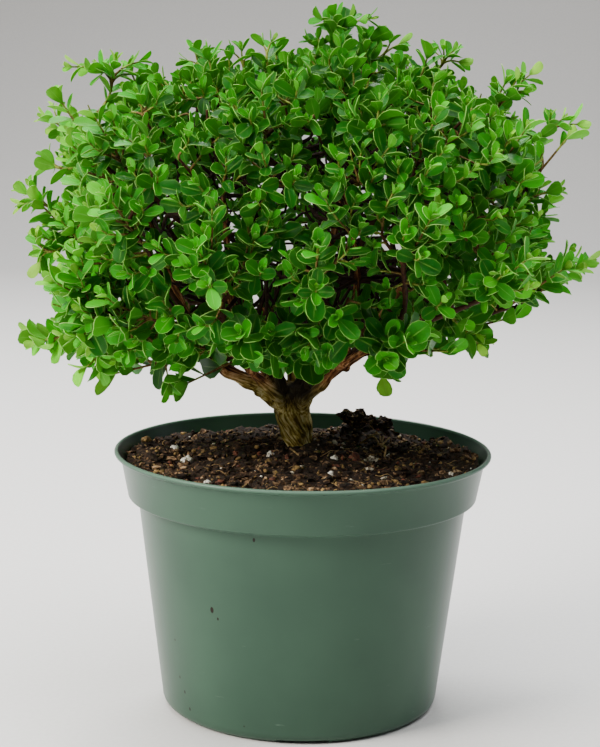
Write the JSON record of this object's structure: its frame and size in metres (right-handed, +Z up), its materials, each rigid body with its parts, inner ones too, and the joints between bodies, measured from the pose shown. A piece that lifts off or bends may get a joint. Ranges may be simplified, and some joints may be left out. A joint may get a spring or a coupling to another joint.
{
  "type": "potted boxwood bonsai",
  "caption": "Small boxwood tree with a short trunk and a broad dense crown of leafy sprays, growing in a round plastic nursery pot filled with potting mix.",
  "frame": {"origin": "on the surface the pot stands on, under the centre of the pot", "axes": "+Z up along the pot's axis; +X to the viewer's right and -Y towards the viewer, seen as in the picture"},
  "size_m": [0.3129, 0.2827, 0.3767],
  "materials": {
    "pot_plastic": "thin moulded polypropylene, satin, sage green",
    "potting_mix": "moist dark peat and bark crumbs with white perlite",
    "bark": "rough fluted olive-brown bark",
    "leaf_green": "waxy, glossy above and dull below"
  },
  "bodies": {
    "root": {"leafy_spray_01": "leaf_green", "leafy_spray_02": "leaf_green", "leafy_spray_03": "leaf_green", "leafy_spray_04": "leaf_green", "leafy_spray_05": "leaf_green", "leafy_spray_06": "leaf_green", "leafy_spray_07": "leaf_green", "leafy_spray_08": "leaf_green", "leafy_spray_09": "leaf_green", "leafy_spray_10": "leaf_green", "leafy_spray_11": "leaf_green", "leafy_spray_12": "leaf_green", "leafy_spray_13": "leaf_green", "leafy_spray_14": "leaf_green", "leafy_spray_15": "leaf_green", "leafy_spray_16": "leaf_green", "leafy_spray_17": "leaf_green", "leafy_spray_18": "leaf_green", "leafy_spray_19": "leaf_green", "leafy_spray_20": "leaf_green", "leafy_spray_21": "leaf_green", "leafy_spray_22": "leaf_green", "leafy_spray_23": "leaf_green", "leafy_spray_24": "leaf_green", "leafy_spray_25": "leaf_green", "leafy_spray_26": "leaf_green", "leafy_spray_27": "leaf_green", "leafy_spray_28": "leaf_green", "leafy_spray_29": "leaf_green", "leafy_spray_30": "leaf_green", "leafy_spray_31": "leaf_green", "leafy_spray_32": "leaf_green", "leafy_spray_33": "leaf_green", "leafy_spray_34": "leaf_green", "leafy_spray_35": "leaf_green", "leafy_spray_36": "leaf_green", "leafy_spray_37": "leaf_green", "leafy_spray_38": "leaf_green", "leafy_spray_39": "leaf_green", "leafy_spray_40": "leaf_green", "leafy_spray_41": "leaf_green", "leafy_spray_42": "leaf_green", "leafy_spray_43": "leaf_green", "leafy_spray_44": "leaf_green", "leafy_spray_45": "leaf_green", "leafy_spray_46": "leaf_green", "leafy_spray_47": "leaf_green", "leafy_spray_48": "leaf_green", "leafy_spray_49": "leaf_green", "leafy_spray_50": "leaf_green", "leafy_spray_51": "leaf_green", "leafy_spray_52": "leaf_green", "leafy_spray_53": "leaf_green", "leafy_spray_54": "leaf_green", "leafy_spray_55": "leaf_green", "leafy_spray_56": "leaf_green", "pot": "pot_plastic", "soil": "potting_mix", "trunk_and_branches": "bark"}
  },
  "joints": []
}
